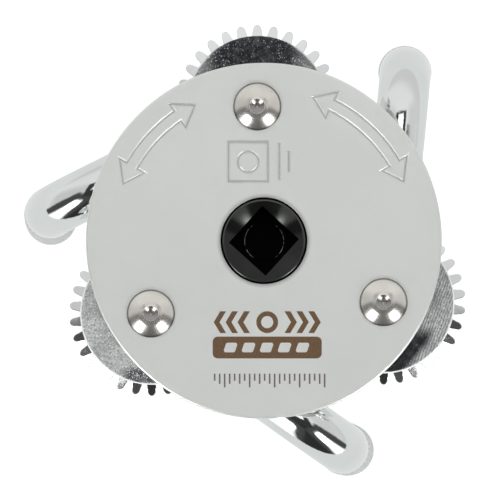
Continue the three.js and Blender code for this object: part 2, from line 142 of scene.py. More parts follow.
def lathe(profile, segs):
    """verts, faces of a solid turned about Z from (radius, z) points.

    A profile that starts and ends on the axis makes a full solid; any other closes on itself.
    """
    profile = [(float(r), float(z)) for r, z in profile]
    solid = profile[0][0] < 1e-9 and profile[-1][0] < 1e-9
    verts, rows = [], []
    for r, z in profile:
        if r < 1e-9:
            rows.append([len(verts)])
            verts.append((0, 0, z))
        else:
            rows.append(list(range(len(verts), len(verts) + segs)))
            for i in range(segs):
                a = 2 * math.pi * i / segs
                verts.append((r * math.cos(a), r * math.sin(a), z))
    pairs = list(zip(rows[:-1], rows[1:]))
    if not solid:
        pairs.append((rows[-1], rows[0]))
    faces = []
    for a, b in pairs:
        for i in range(segs):
            j = (i + 1) % segs
            if len(a) == 1:
                faces.append((a[0], b[j], b[i]))
            elif len(b) == 1:
                faces.append((a[i], a[j], b[0]))
            else:
                faces.append((a[i], a[j], b[j], b[i]))
    return np.array(verts), faces


def cylinder(radius, low, high, segs):
    return lathe([(0, low), (radius, low), (radius, high), (0, high)], segs)


def quads(a, b, count, flip=False):
    """Faces between two closed rows of count vertices that start at a and b."""
    faces = []
    for i in range(count):
        j = (i + 1) % count
        if flip:
            faces.append((a + i, b + i, b + j, a + j))
        else:
            faces.append((a + i, a + j, b + j, b + i))
    return faces


def offset(outline, distance):
    """A closed counter-clockwise outline moved inwards."""
    points = np.array(outline, float)

    def inward(edge):
        normal = np.stack([-edge[:, 1], edge[:, 0]], 1)
        return normal / (np.linalg.norm(normal, axis=1)[:, None] + 1e-12)

    normal = inward(points - np.roll(points, 1, 0))
    middle = normal + inward(np.roll(points, -1, 0) - points)
    middle /= np.linalg.norm(middle, axis=1)[:, None] + 1e-12
    stretch = np.clip((middle * normal).sum(1), 0.45, 1)
    return points + middle * (distance / stretch)[:, None]


def slab(outline, low, high, edge_low=0.0, edge_high=0.0, steps=3):
    """verts, faces of a counter-clockwise outline raised from low to high, edges softened."""
    loops = []  # inward offset, z
    quarter = [math.pi / 2 * i / steps for i in range(steps + 1)]
    if edge_low > 0:
        for a in quarter[:-1]:
            loops.append((edge_low * (1 - math.sin(a)), low + edge_low * (1 - math.cos(a))))
    loops.append((0.0, low + edge_low))
    if edge_high > 0:
        for a in quarter:
            loops.append((edge_high * (1 - math.cos(a)), high - edge_high * (1 - math.sin(a))))
    else:
        loops.append((0.0, high))
    count = len(outline)
    verts, faces = [], []
    for inset, z in loops:
        ring = offset(outline, inset) if inset else np.array(outline, float)
        verts += [(x, y, z) for x, y in ring]
    for k in range(len(loops) - 1):
        faces += quads(k * count, (k + 1) * count, count)
    faces.append(tuple(range(count - 1, -1, -1)))
    top = (len(loops) - 1) * count
    faces.append(tuple(range(top, top + count)))
    return np.array(verts), faces


def circle(radius, count, x=0.0, y=0.0):
    turns = [2 * math.pi * i / count for i in range(count)]
    return [(x + radius * math.cos(a), y + radius * math.sin(a)) for a in turns]


def polar(radius, degrees):
    return (radius * math.cos(degrees * DEG), radius * math.sin(degrees * DEG))


def moved(made, x=0.0, y=0.0, z=0.0):
    verts, faces = made
    return np.asarray(verts, float) + (x, y, z), faces


def join(*made):
    """Several closed bodies as one mesh; they must not touch."""
    verts, faces, base = [], [], 0
    for part_verts, part_faces in made:
        verts.append(np.asarray(part_verts, float))
        faces += [tuple(i + base for i in face) for face in part_faces]
        base += len(part_verts)
    return np.concatenate(verts), faces


def new_object(name, made):
    verts, faces = made
    mesh = bpy.data.meshes.new(name)
    mesh.from_pydata((np.asarray(verts, float) * MM).tolist(), [], faces)
    mesh.validate()
    ob = bpy.data.objects.new(name, mesh)
    scene.collection.objects.link(ob)
    return ob


def boolean(target, cutters, operation="DIFFERENCE"):
    for made in cutters:
        cutter = new_object("cutter", made)
        modifier = target.modifiers.new("cut", "BOOLEAN")
        modifier.object = cutter
        modifier.operation = operation
        modifier.solver = "EXACT"
        depsgraph = bpy.context.evaluated_depsgraph_get()
        result = bpy.data.meshes.new_from_object(target.evaluated_get(depsgraph))
        target.modifiers.clear()
        old, cutter_mesh = target.data, cutter.data
        target.data = result
        bpy.data.meshes.remove(old)
        bpy.data.objects.remove(cutter)
        bpy.data.meshes.remove(cutter_mesh)


def piece(ob, body, replaces, materials, angle=32, weighted=True):
    """Shade an object, give it its materials, hang it on its body's empty and hide the CAD part it
    replaces, if any.
    """
    mesh = ob.data
    mesh.polygons.foreach_set("use_smooth", [True] * len(mesh.polygons))
    mesh.set_sharp_from_angle(angle=angle * DEG)
    if weighted:
        modifier = ob.modifiers.new("weighted", "WEIGHTED_NORMAL")
        modifier.keep_sharp = True
        modifier.weight = 100
    mesh.update()
    mesh.materials.clear()
    for material in materials:
        mesh.materials.append(material)
    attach(ob, body)
    if replaces:
        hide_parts(replaces)


def place_leg(ob, k):
    """Turn a leg part made along +X to its rest angle and set it on its pivot."""
    ob.data.transform(Matrix.Rotation(LEG_ANGLES[k] * DEG, 4, "Z"))
    ob.data.transform(Matrix.Translation(Vector((*PIVOTS[k], 0)) * MM))


# ------------------------------------------------------------------ node helpers
NOISE_SPAN = (0.3, 0.7)  # where nearly all of a noise's values lie


class Nodes:
    """The emptied node tree of a material or world, with short names for building it."""

    def __init__(self, owner, output_kind):
        owner.use_nodes = True
        self.tree = owner.node_tree
        self.tree.nodes.clear()
        self.output = self.add(output_kind).inputs[0]

    def add(self, kind, inputs=None):
        node = self.tree.nodes.new(kind)
        for key, value in (inputs or {}).items():
            self.put(node.inputs[key], value)
        return node

    def put(self, socket, value):
        if isinstance(value, bpy.types.NodeSocket):
            self.tree.links.new(value, socket)
        else:
            socket.default_value = value

    def math(self, operation, *values):
        node = self.tree.nodes.new("ShaderNodeMath")
        node.operation = operation
        for i, value in enumerate(values):
            self.put(node.inputs[i], value)
        return node.outputs[0]

    def plus(self, a, b):
        return self.math("ADD", a, b)

    def minus(self, a, b):
        return self.math("SUBTRACT", a, b)

    def times(self, *factors):
        return reduce(lambda a, b: self.math("MULTIPLY", a, b), factors)

    def absolute(self, value):
        return self.math("ABSOLUTE", value)

    def radius(self, x, y):
        squares = self.math("POWER", x, 2.0), self.math("POWER", y, 2.0)
        return self.math("SQRT", self.plus(*squares))

    def vector(self, operation, *values):
        node = self.tree.nodes.new("ShaderNodeVectorMath")
        node.operation = operation
        for i, value in enumerate(values):
            self.put(node.inputs[i], value)
        return node.outputs["Value" if operation in ("DOT_PRODUCT", "LENGTH") else 0]

    def linear(self, value, span=NOISE_SPAN, to=(0.0, 1.0)):
        """Map value from span to the range to, in a straight line."""
        return self.add("ShaderNodeMapRange", dict(enumerate((value, *span, *to)))).outputs[0]

    def step(self, value, span, to=(0.0, 1.0)):
        """Map value from span to the range to, by a smooth step."""
        node = self.tree.nodes.new("ShaderNodeMapRange")
        node.interpolation_type = "SMOOTHSTEP"
        for i, number in enumerate((value, *span, *to)):
            self.put(node.inputs[i], number)
        return node.outputs[0]


class Surface(Nodes):
    """A principled material textured by object coordinates, in metres."""

    def __init__(self, name):
        self.material = bpy.data.materials.new(name)
        super().__init__(self.material, "ShaderNodeOutputMaterial")
        self.shader = self.add("ShaderNodeBsdfPrincipled")
        self.put(self.output, self.shader.outputs[0])
        self.place = self.add("ShaderNodeTexCoord").outputs["Object"]

    def axes(self):
        return self.add("ShaderNodeSeparateXYZ", {0: self.place}).outputs

    def noise(self, scale, detail=3.0, rough=0.5):
        inputs = {"Vector": self.place, "Scale": scale, "Detail": detail, "Roughness": rough}
        return self.add("ShaderNodeTexNoise", inputs).outputs[0]

    def ramp(self, value, dark, light, span=NOISE_SPAN):
        node = self.add("ShaderNodeValToRGB", {0: value})
        for element, position, colour in zip(node.color_ramp.elements, span, (dark, light)):
            element.position = position
            element.color = (*colour, 1)
        return node.outputs[0]

    def mix(self, share, under, over):
        node = self.tree.nodes.new("ShaderNodeMix")
        node.data_type = "RGBA"
        self.put(node.inputs[0], share)
        for i, colour in ((6, under), (7, over)):
            self.put(node.inputs[i], (*colour, 1) if isinstance(colour, tuple) else colour)
        return node.outputs[2]

    def bump(self, height, strength, distance, normal=None):
        inputs = {"Strength": strength, "Distance": distance, "Height": height}
        if normal is not None:
            inputs["Normal"] = normal
        return self.add("ShaderNodeBump", inputs).outputs[0]

    def view_right(self, x, y):
        """How far (x, y) lies to the camera's right."""
        return self.plus(self.times(x, VIEW_COS), self.times(y, VIEW_SIN))

    def view_up(self, x, y):
        """How far (x, y) lies up the camera's view."""
        return self.minus(self.times(y, VIEW_COS), self.times(x, VIEW_SIN))

    def finish(self, colour, metallic, roughness, normal, specular=None):
        inputs = {
            "Base Color": colour,
            "Metallic": metallic,
            "Roughness": roughness,
            "Normal": normal,
        }
        if specular is not None:
            inputs["Specular IOR Level"] = specular
        for name, value in inputs.items():
            self.put(self.shader.inputs[name], value)
        return self.material


# ------------------------------------------------------------------ materials
def satin_look():
    look = Surface("satin_plate")
    fine = look.noise(scale=5200.0, detail=2.0, rough=0.6)
    middle = look.noise(scale=900.0, rough=0.55)
    cloud = look.noise(scale=60.0)
    colour = look.ramp(cloud, dark=(0.792, 0.808, 0.786), light=(0.820, 0.836, 0.814))
    grain = look.step(fine, span=(0.35, 0.75), to=(0.0, 0.10))
    colour = look.mix(grain, colour, over=(0.66, 0.67, 0.655))
    # painted shade in the corner against the drive
    x, y, _ = look.axes()
    drive_corner_shade = look.step(look.radius(x, y), span=(0.0084, 0.0095), to=(0.55, 0.0))
    return look.finish(
        colour=look.mix(drive_corner_shade, colour, over=(0.16, 0.16, 0.155)),
        metallic=0.85,
        roughness=look.linear(middle, to=(0.34, 0.44)),
        normal=look.bump(fine, strength=0.25, distance=0.00006),
    )


def engraved_look():
    look = Surface("engraved_floor")
    fine = look.noise(scale=4200.0, detail=2.0, rough=0.6)
    return look.finish(
        colour=look.ramp(fine, dark=(0.46, 0.46, 0.445), light=(0.56, 0.56, 0.545)),
        metallic=0.8,
        roughness=0.5,
        normal=look.bump(fine, strength=0.4, distance=0.00008),
    )


def print_look(name, dark, light):
    look = Surface(name)
    fine = look.noise(scale=2600.0, detail=2.0, rough=0.6)
    return look.finish(
        colour=look.ramp(fine, dark, light, span=(0.35, 0.7)),
        metallic=0.0,
        roughness=0.55,
        normal=look.bump(fine, strength=0.2, distance=0.00004),
    )


def chrome_look():
    look = Surface("chrome")
    fine = look.noise(scale=2400.0, detail=2.0, rough=0.6)
    wave = look.noise(scale=90.0, detail=2.0)
    pits = look.noise(scale=950.0, rough=0.6)
    waved = look.bump(wave, strength=0.25, distance=0.00012)
    pitted = look.bump(pits, strength=0.22, distance=0.00005, normal=waved)
    return look.finish(
        colour=look.ramp(wave, dark=(0.77, 0.785, 0.785), light=(0.83, 0.84, 0.835)),
        metallic=1.0,
        roughness=look.linear(fine, to=(0.04, 0.10)),
        normal=look.bump(fine, strength=0.10, distance=0.00003, normal=pitted),
    )


def knurl_look():
    """Chrome over the knurl: paler, with dark specks where the plating is thin."""
    look = Surface("chrome_knurl")
    fine = look.noise(scale=2600.0, rough=0.65)
    speck = look.step(look.noise(scale=1700.0, detail=2.0), span=(0.64, 0.72))
    colour = look.ramp(fine, dark=(0.83, 0.845, 0.84), light=(0.91, 0.92, 0.915))
    return look.finish(
        colour=look.mix(look.times(speck, 0.25), colour, over=(0.50, 0.51, 0.51)),
        metallic=0.9,
        roughness=look.linear(fine, to=(0.16, 0.24)),
        normal=look.bump(fine, strength=0.12, distance=0.00005),
    )


def gear_look():
    """Smooth plated tooth faces."""
    look = Surface("gear_chrome")
    fine = look.noise(scale=1500.0, rough=0.6)
    cloud = look.noise(scale=160.0, detail=2.0)
    return look.finish(
        colour=look.ramp(cloud, dark=(0.80, 0.82, 0.815), light=(0.86, 0.875, 0.87)),
        metallic=1.0,
        roughness=look.linear(fine, to=(0.08, 0.15)),
        normal=look.bump(cloud, strength=0.5, distance=0.00016),
    )


def cast_look(k):
    """Plated over a rough casting, with grain. Painted light on top: bright specks as painted
    glints, a painted highlight round the rim, and on each boss its own lit tone and patch of
    painted shade.
    """
    look = Surface(f"gear_cast_boss_{k + 1}")
    pivot_x, pivot_y = PIVOTS[k] * MM
    plate_x, plate_y, _ = look.axes()
    x = look.minus(plate_x, float(pivot_x))
    y = look.minus(plate_y, float(pivot_y))
    right = look.view_right(x, y)
    grain = look.noise(scale=2300.0, detail=4.0, rough=0.7)
    cloud = look.noise(scale=260.0, detail=4.0, rough=0.62)
    patch = look.noise(scale=700.0, rough=0.6)
    spark = look.noise(scale=3900.0, detail=2.0)
    # painted highlight along the rounded rim of the boss
    rim = look.step(look.radius(x, y), span=(0.01372, 0.01384))

    # per boss: the share of painted shade, the lit tone and the painted shade's tone, and the noise
    # level where painted glints start
    if k == 0:  # painted shade in a belt up the view, lit at its right and left ends
        ends = look.step(look.absolute(look.plus(right, 0.0008)), span=(0.0066, 0.0112))
        painted_shade = look.minus(1.0, ends)
        lit_tone, dark_low = (0.46, 0.47, 0.47), (0.020, 0.0215, 0.024)
        # more painted glints towards the lit ends, and the painted rim highlight only at the ends
        outward = look.step(look.absolute(right), span=(0.0030, 0.0090))
        spark_from = look.plus(0.675, look.times(outward, -0.06))
        rim = look.times(rim, ends)
    elif k == 1:  # painted shade in a patch at the bottom of the view
        up = look.view_up(x, y)
        painted_shade = look.times(
            look.step(up, span=(-0.0102, -0.0116)), look.step(right, span=(-0.0066, -0.0038))
        )
        lit_tone, dark_low = (0.57, 0.59, 0.586), (0.045, 0.047, 0.05)
        spark_from = 0.60
    else:  # painted shade in a patch low in the view, on the side of the drive
        up = look.view_up(x, y)
        reach = look.plus(look.radius(plate_x, plate_y), look.times(cloud, 0.0012))
        painted_shade = look.times(
            look.step(reach, span=(0.0394, 0.0376)), look.step(up, span=(-0.0040, -0.0072))
        )
        lit_tone, dark_low = (0.60, 0.615, 0.612), (0.010, 0.011, 0.012)
        spark_from = look.plus(0.64, look.times(painted_shade, 0.07))

    def scaled(colour, share):
        return tuple(channel * share for channel in colour)

    tone = look.mix(
        look.step(cloud, span=(0.36, 0.64)), under=scaled(lit_tone, 0.78), over=scaled(lit_tone, 1.12)
    )
    tone = look.mix(look.step(grain, span=(0.34, 0.58)), under=scaled(lit_tone, 0.50), over=tone)
    if k == 2:  # slanting lines, slightly wavy
        line_pitch = 0.00052
        across = look.plus(look.times(right, 0.94), look.times(up, -0.34))
        across = look.plus(look.times(patch, 0.0005), across)
        hatch = look.math("SINE", look.times(across, 2 * math.pi / line_pitch))
        lines = look.step(hatch, span=(-0.3, 0.9), to=(0.0, 0.62))
        tone = look.mix(lines, tone, over=(0.11, 0.115, 0.12))
    # the tone of the painted shade, mottled, then laid over the lit tone
    deep = look.mix(
        look.step(patch, span=(0.42, 0.66)), under=dark_low, over=scaled(dark_low, 4.2)
    )
    deep_grain = look.step(grain, span=(0.50, 0.66), to=(0.0, 0.8))
    deep = look.mix(deep_grain, deep, over=scaled(dark_low, 3.4))
    tone = look.mix(painted_shade, tone, deep)
    # painted glints: bright specks where the noise is high
    bright = look.step(spark, span=(spark_from, look.plus(spark_from, 0.035)))
    tone = look.mix(bright, tone, over=(0.86, 0.87, 0.87))

    cell_inputs = {"Vector": look.place, "Scale": 1500.0, "Randomness": 1.0}
    cells = look.add("ShaderNodeTexVoronoi", cell_inputs).outputs["Distance"]
    pebbled = look.bump(cells, strength=0.45, distance=0.00010)
    return look.finish(
        # painted highlight round the rim: nearly white and barely metallic
        colour=look.mix(rim, tone, over=(0.90, 0.91, 0.91)),
        metallic=look.minus(0.55, look.times(rim, 0.45)),
        roughness=look.linear(grain, to=(0.50, 0.36)),
        normal=look.bump(grain, strength=0.7, distance=0.00012, normal=pebbled),
    )


def nickel_look():
    look = Surface("nickel_rivet")
    fine = look.noise(scale=1800.0, rough=0.6)
    cloud = look.noise(scale=260.0, detail=2.0)
    colour = look.ramp(cloud, dark=(0.70, 0.675, 0.62), light=(0.78, 0.76, 0.71))
    # distance to the nearest pivot's axis
    distances = []
    for pivot in PIVOTS:
        apart = look.vector("SUBTRACT", look.place, (pivot[0] * MM, pivot[1] * MM, 0.0))
        flat = look.vector("MULTIPLY", apart, (1.0, 1.0, 0.0))
        distances.append(look.vector("LENGTH", flat))
    away = reduce(lambda a, b: look.math("MINIMUM", a, b), distances)
    # painted shade in the hollow at the middle, which is also a little rougher, and painted shade
    # round the rim of the upper head
    hollow = look.step(away, span=(0.00160, 0.00138))
    colour = look.mix(hollow, colour, over=(0.34, 0.33, 0.31))
    rim = look.step(away, span=(0.00425, 0.00466))
    high = look.step(look.axes()[2], span=(0.011, 0.0112))
    return look.finish(
        # painted shade round the rim of the upper head
        colour=look.mix(look.times(rim, high), colour, over=(0.13, 0.13, 0.125)),
        metallic=0.9,
        roughness=look.plus(look.linear(fine, to=(0.19, 0.24)), look.times(hollow, 0.06)),
        normal=look.bump(cloud, strength=0.3, distance=0.00012),
    )


def black_look():
    """Black oxide, glossy at the mouth. Down the socket and outside the mouth the colour is painted
    plain black as shade, and the surface is made rougher and less shiny there.
    """
    look = Surface("black_oxide")
    fine = look.noise(scale=2600.0, rough=0.6)
    cloud = look.noise(scale=300.0)
    x, y, z = look.axes()
    from_axis = look.radius(x, y)
    # painted shade: plain black down the square socket
    deep = look.times(
        look.step(from_axis, span=(0.0074, 0.0069)),
        look.step(z, span=(0.0092, 0.0086)),
        look.step(z, span=(-0.0008, -0.0003)),
    )
    colour = look.ramp(cloud, dark=(0.014, 0.0155, 0.014), light=(0.021, 0.023, 0.021))
    # a paler ring round the mouth, and painted shade, plain black, outside it
    ring = look.times(
        look.step(from_axis, span=(0.00786, 0.00794)),
        look.step(from_axis, span=(0.00816, 0.00810)),
    )
    colour = look.mix(ring, colour, over=(0.07, 0.072, 0.07))
    deep = look.math("MAXIMUM", deep, look.step(from_axis, span=(0.00812, 0.00822)))
    colour = look.mix(deep, colour, over=(0.002, 0.002, 0.002))
    # painted highlight on the relief's edge at the bottom, at the right and left of the view
    edge = look.times(
        look.step(from_axis, span=(0.00376, 0.00380)),
        look.step(from_axis, span=(0.00392, 0.00388)),
        look.step(z, span=(0.0010, 0.0008)),
        look.step(look.absolute(look.view_right(x, y)), span=(0.0019, 0.0030)),
        look.step(look.noise(scale=1400.0, detail=2.0, rough=0.6), span=(0.34, 0.50)),
    )
    return look.finish(
        colour=look.mix(edge, colour, over=(0.75, 0.76, 0.75)),
        metallic=0.6,
        roughness=look.plus(look.linear(fine, to=(0.105, 0.16)), look.times(deep, 0.3)),
        normal=look.bump(fine, strength=0.12, distance=0.00005),
        specular=look.minus(0.54, look.times(deep, 0.50)),
    )


def steel_look(name, dark, light, roughness):
    look = Surface(name)
    fine = look.noise(scale=2000.0, rough=0.6)
    cloud = look.noise(scale=200.0)
    return look.finish(
        colour=look.ramp(cloud, dark, light),
        metallic=1.0,
        roughness=look.linear(fine, to=(roughness, roughness + 0.12)),
        normal=look.bump(fine, strength=0.15, distance=0.00006),
    )


SATIN = satin_look()
ENGRAVED = engraved_look()
BROWN = print_look("brown_print", dark=(0.104, 0.055, 0.022), light=(0.146, 0.081, 0.035))
GREY_PRINT = print_look("grey_print", dark=(0.11, 0.09, 0.072), light=(0.17, 0.14, 0.12))
CHROME = chrome_look()
KNURL = knurl_look()
GEAR = gear_look()
CAST = [cast_look(k) for k in range(3)]
NICKEL = nickel_look()
BLACK = black_look()
SPRING = steel_look(
    "spring_steel", dark=(0.05, 0.05, 0.055), light=(0.09, 0.09, 0.095), roughness=0.32
)
STEEL = steel_look(
    "plain_steel", dark=(0.40, 0.41, 0.42), light=(0.50, 0.51, 0.52), roughness=0.20
)


# ------------------------------------------------------------------ marks on the top plate
# Marks are laid out as the camera sees them: u to its right, v up, from the drive axis.
GROOVE_WIDTH = 0.24  # at its floor
GROOVE_DEPTH = 0.2
GROOVE_MOUTH = GROOVE_WIDTH / 2 + 0.24  # half its width at the plate's face
GROOVE_FLOOR_Z = PLATE_TOP - GROOVE_DEPTH
GROOVE_FACE_Z = PLATE_TOP + 0.004
GROOVE_CUT_Z = PLATE_TOP + 0.4

ARROW_R = 29.9
ARROW_SHAFT = 2.3
ARROW_HEAD = 5.6  # width
ARROW_HEAD_SWEEP = 7.6  # length of a head, in degrees

PRINT_LOW, PRINT_TOP = PLATE_TOP - 0.03, PLATE_TOP + 0.015
SIGN_U, SIGN_V = 0.65, -16.05  # centre of the printed ring
SIGN_HALF = 2.15  # half the height of the ring and its chevrons


def on_plate(u, v):
    return (u * VIEW_COS - v * VIEW_SIN, u * VIEW_SIN + v * VIEW_COS)


def shape(points):
    """A mark's (u, v) outline in plate coordinates, counter-clockwise."""
    points = [on_plate(u, v) for u, v in points]
    area = sum(a[0] * b[1] - a[1] * b[0] for a, b in zip(points, points[1:] + points[:1]))
    return points if area > 0 else points[::-1]


def rect(u0, v0, u1, v1):
    return [(u0, v0), (u1, v0), (u1, v1), (u0, v1)]


def curved_arrow(start, end):
    """A double-ended arrow bent round the drive axis between two angles."""
    shaft_start, shaft_end = start + ARROW_HEAD_SWEEP, end - ARROW_HEAD_SWEEP
    sweep = end - start - 2 * ARROW_HEAD_SWEEP
    steps = 10

    def shaft(radius, first, turn):
        return [polar(radius, first + turn * i / steps) for i in range(steps + 1)]

    points = [polar(ARROW_R, start), polar(ARROW_R + ARROW_HEAD / 2, shaft_start)]
    points += shaft(ARROW_R + ARROW_SHAFT / 2, shaft_start, sweep)
    points += [polar(ARROW_R + ARROW_HEAD / 2, shaft_end), polar(ARROW_R, end)]
    points += [polar(ARROW_R - ARROW_HEAD / 2, shaft_end)]
    points += shaft(ARROW_R - ARROW_SHAFT / 2, shaft_end, -sweep)
    points += [polar(ARROW_R - ARROW_HEAD / 2, shaft_start)]
    return points


def groove(outline):
    """A cutter for a closed engraved line, wider at the face than at its floor."""
    line = np.array(shape(outline))
    section = [  # inward offset, z
        (-GROOVE_MOUTH, GROOVE_FACE_Z),
        (-GROOVE_WIDTH / 2, GROOVE_FLOOR_Z),
        (GROOVE_WIDTH / 2, GROOVE_FLOOR_Z),
        (GROOVE_MOUTH, GROOVE_FACE_Z),
        (GROOVE_MOUTH, GROOVE_CUT_Z),
        (-GROOVE_MOUTH, GROOVE_CUT_Z),
    ]
    verts = [(x, y, z) for inset, z in section for x, y in offset(line, inset)]
    count = len(line)
    faces = []
    for row in range(len(section)):
        faces += quads(row * count, (row + 1) % len(section) * count, count, flip=True)
    return np.array(verts), faces


def open_groove(start, end):
    """A cutter for a short straight engraved line."""
    start, end = np.array(start, float), np.array(end, float)
    along = (end - start) / np.linalg.norm(end - start)
    normal = np.array([-along[1], along[0]])
    section = (  # half width, z
        (GROOVE_WIDTH / 2, GROOVE_FLOOR_Z),
        (GROOVE_MOUTH, GROOVE_FACE_Z),
        (GROOVE_MOUTH, GROOVE_CUT_Z),
    )
    verts = []
    for half, z in section:
        side, extra = normal * half, along * (half - GROOVE_WIDTH / 2)
        corners = [
            start - side - extra, end - side + extra, end + side + extra, start + side - extra
        ]
        verts += [(*on_plate(*corner), z) for corner in corners]
    faces = [(3, 2, 1, 0), (8, 9, 10, 11)] + quads(0, 4, 4) + quads(4, 8, 4)
    return np.array(verts), faces


def engraving_cutters():
    """Two bent double arrows, a square with a circle in it and two short lines beside it."""
    return [
        groove(curved_arrow(117, 158)),
        groove(curved_arrow(23, 71)),
        groove(rect(-7.0, 11.6, 0.8, 19.4)),
        groove(circle(2.05, 40, -3.1, 15.5)),
        open_groove((3.0, 12.0), (3.0, 19.0)),
        open_groove((4.9, 13.6), (4.9, 17.4)),
    ]


def chevrons():
    """Three chevrons on each side of the ring, pointing away from it."""
    top, low = SIGN_V + SIGN_HALF, SIGN_V - SIGN_HALF
    out = []
    for side in (-1, 1):
        width, lean = side * 1.15, side * 1.3
        for i in range(3):
            u = side * (3.4 + 2.35 * i) + SIGN_U
            out.append([
                (u, top), (u + width, top), (u + width + lean, SIGN_V),
                (u + width, low), (u, low), (u + lean, SIGN_V),
            ])
    return out


def panel_slots():
    """Five leaning slots in the panel."""
    out = []
    for i in range(5):
        u = -7.1 + 3.55 * i
        low, top = -22.0, -20.1
        corners = [(u - 0.95, low), (u + 1.35, low), (u + 2.0, top), (u - 0.3, top)]
        out.append(rounded([(*corner, 0.4) for corner in corners]))
    return out


def scale_ticks():
    """A row of lines of three lengths."""
    half_width, top = 0.16, -26.2
    out = []
    for i in range(23):
        u = -9.7 + i * 0.985
        low = -28.9 if i % 5 == 2 else (-28.2 if i % 2 else -27.6)
        out.append(rect(u - half_width, low, u + half_width, top))
    return out


def make_print(name, outlines, material, holes=()):
    ob = new_object(name, join(*[slab(shape(q), PRINT_LOW, PRINT_TOP) for q in outlines]))
    if holes:
        cutters = [slab(shape(q), PLATE_TOP - CLEAR, PLATE_TOP + CLEAR) for q in holes]
        boolean(ob, [join(*cutters)])
    piece(ob, "housing", None, [material], angle=30, weighted=False)


def make_prints():
    make_print("print_chevrons", chevrons(), BROWN)
    panel = rounded([(*corner, 1.0) for corner in rect(-10.1, -23.2, 11.4, -18.9)])
    make_print("print_panel", [panel], BROWN, holes=panel_slots())
    ring = circle(SIGN_HALF, 40, SIGN_U, SIGN_V)
    make_print("print_ring", [ring], BROWN, holes=[circle(1.2, 32, SIGN_U, SIGN_V)])
    make_print("print_scale", scale_ticks(), GREY_PRINT)


# ------------------------------------------------------------------ plates
PLATE_BORE_R = 8.5
CORNER_R = 8.0  # bottom plate's outline round each pivot


def pivot_holes(low, high):
    hole = cylinder(PIVOT_HOLE_R, low - CLEAR, high + CLEAR, 48)
    return [moved(hole, *pivot) for pivot in PIVOTS]


def make_top_plate():
    profile = rounded([
        (PLATE_BORE_R, PLATE_LOW, 0.15, 2),
        (PLATE_R, PLATE_LOW, 0.5, 4),
        (PLATE_R, PLATE_TOP, 0.42, 6),
        (PLATE_BORE_R, PLATE_TOP, 0.15, 3),
    ])
    ob = new_object("plate_top", lathe(profile, 240))
    boolean(ob, [join(*pivot_holes(PLATE_LOW, PLATE_TOP))] + engraving_cutters())
    piece(ob, "housing", "top_plate", [SATIN, ENGRAVED], angle=35)
    # the floors of the engraved lines
    z_min, z_max = (PLATE_TOP - 0.25) * MM, (PLATE_TOP - 0.19) * MM
    for poly in ob.data.polygons:
        centre = poly.center
        on_face = 10 * MM < math.hypot(centre.x, centre.y) < (PLATE_R - 1.5) * MM
        if poly.normal.z > 0.5 and z_min < centre.z < z_max and on_face:
            poly.material_index = 1


def make_bottom_plate():
    """A three-cornered plate, rounded about each pivot."""
    outline = []
    for pivot, angle in zip(PIVOTS, PIVOT_ANGLES):
        for i in range(25):
            dx, dy = polar(CORNER_R, angle - 60 + 5 * i)
            outline.append((pivot[0] + dx, pivot[1] + dy))
    ob = new_object("plate_bottom", slab(outline, BASE_LOW, BASE_TOP, 0.6, 0.3, 4))
    bore_r, countersink_r = 6.2, 7.7
    bore = lathe(
        [
            (0, BASE_LOW - CLEAR),
            (countersink_r, BASE_LOW - CLEAR),
            (bore_r, BASE_LOW + 0.5),
            (bore_r, BASE_TOP + CLEAR),
            (0, BASE_TOP + CLEAR),
        ],
        96,
    )
    boolean(ob, [join(*pivot_holes(BASE_LOW, BASE_TOP), bore)])
    piece(ob, "housing", "bottom_plate", [SATIN], angle=35)


# ------------------------------------------------------------------ gears
LEG_TEETH, DRIVE_TEETH = 30, 24  # of module 1
PRESSURE_ANGLE = 20 * DEG
TOOTH_PHASE = -2.6  # turn of the leg gears' teeth from the pivot's outward direction
TOOTH_FALL = 25.0  # slope of the leg gears' tooth faces
TEETH_LOW, TEETH_TOP = -0.6, 5.4  # leg gears
DRIVE_TEETH_TOP = 5.0
LEG_TIP_R, LEG_ROOT_R = 16.3, 13.75
DRIVE_TIP_R, DRIVE_ROOT_R = 12.5, 9.95
GEAR_BORE_R = 4.66
HUB_R, BOSS_R = 12.5, 14.05
CAST_R = 13.55  # outer radius of the rough top
SOCKET_R, SOCKET_X = 5.22, 5.9  # socket for the bar, and where it starts


def gear_outline(teeth, shift, extra, tip, root, start, round_height):
    """Involute flanks, rounded tips and a filleted root, counter-clockwise.

    shift is the profile shift and extra the added tooth thickness, in modules.
    """
    pitch_r = teeth / 2
    base_r = pitch_r * math.cos(PRESSURE_ANGLE)
    flank_points = 4

    def involute(angle):
        return math.tan(angle) - angle

    thickness = math.pi / 2 + 2 * shift * math.tan(PRESSURE_ANGLE) + extra
    base_half = thickness / (2 * pitch_r) + involute(PRESSURE_ANGLE)

    def half_at(radius):
        """Half the tooth's angle at a radius."""
        if radius <= base_r:
            return base_half
        return base_half - involute(math.acos(base_r / radius))

    crown = tip - round_height
    low = max(base_r, root + 0.3)
    # radius, half angle, from the root to the tip
    flank = [(root, half_at(low) + 0.20 / root), (root + 0.07, half_at(low) + 0.09 / root)]
    for i in range(flank_points):
        radius = low + (crown - low) * i / (flank_points - 1)
        flank.append((radius, half_at(radius)))
    if round_height > 1:
        tip_angles, power = (14, 28, 42, 55, 67, 78), 1.0
    else:
        tip_angles, power = (18, 36, 54, 70), 0.85
    for angle in tip_angles:
        narrowed = half_at(crown) * math.cos(angle * DEG) ** power
        flank.append((crown + round_height * math.sin(angle * DEG), narrowed))
    points = []
    for i in range(teeth):
        centre = start * DEG + 2 * math.pi * i / teeth
        tooth = [(r, centre - a) for r, a in flank] + [(tip, centre)]
        tooth += [(r, centre + a) for r, a in reversed(flank)]
        points += [(r * math.cos(a), r * math.sin(a)) for r, a in tooth]
    return points


